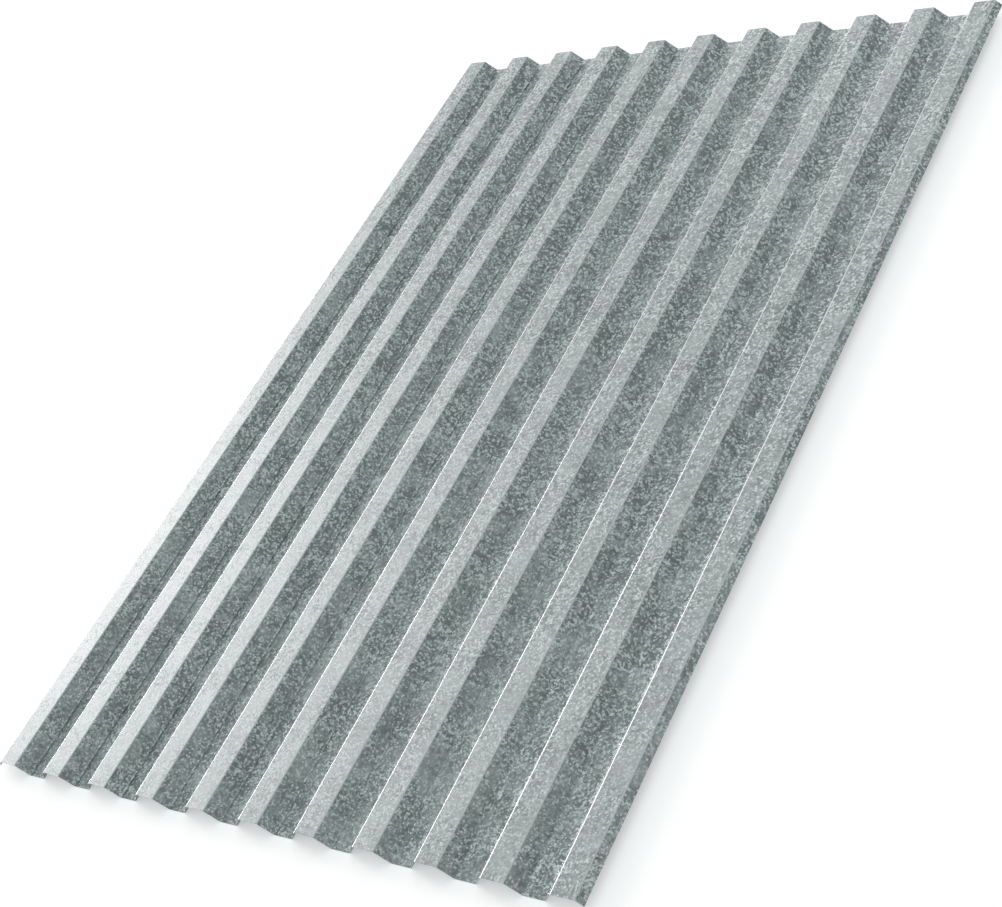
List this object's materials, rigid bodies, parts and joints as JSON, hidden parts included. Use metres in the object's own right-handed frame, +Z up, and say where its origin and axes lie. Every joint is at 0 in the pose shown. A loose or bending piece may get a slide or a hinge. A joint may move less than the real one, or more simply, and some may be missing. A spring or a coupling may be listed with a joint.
{
  "type": "corrugated metal sheet",
  "caption": "Galvanised steel sheet roll-formed into shallow trapezoidal ribs with half-height lips along both long edges, for roofs, walls and fences.",
  "frame": {"origin": "middle of the sheet's footprint, in the plane of the valley undersides that it rests on", "axes": "+X across the ribs, +Y along the ribs, +Z up, from the valleys to the crests"},
  "size_m": [1.051, 1.56, 0.0215],
  "materials": {
    "galvanised_steel": "hot-dip galvanised with a fine mottled spangle, semi-matt"
  },
  "bodies": {
    "root": {"profiled_sheet": "galvanised_steel"}
  },
  "joints": []
}
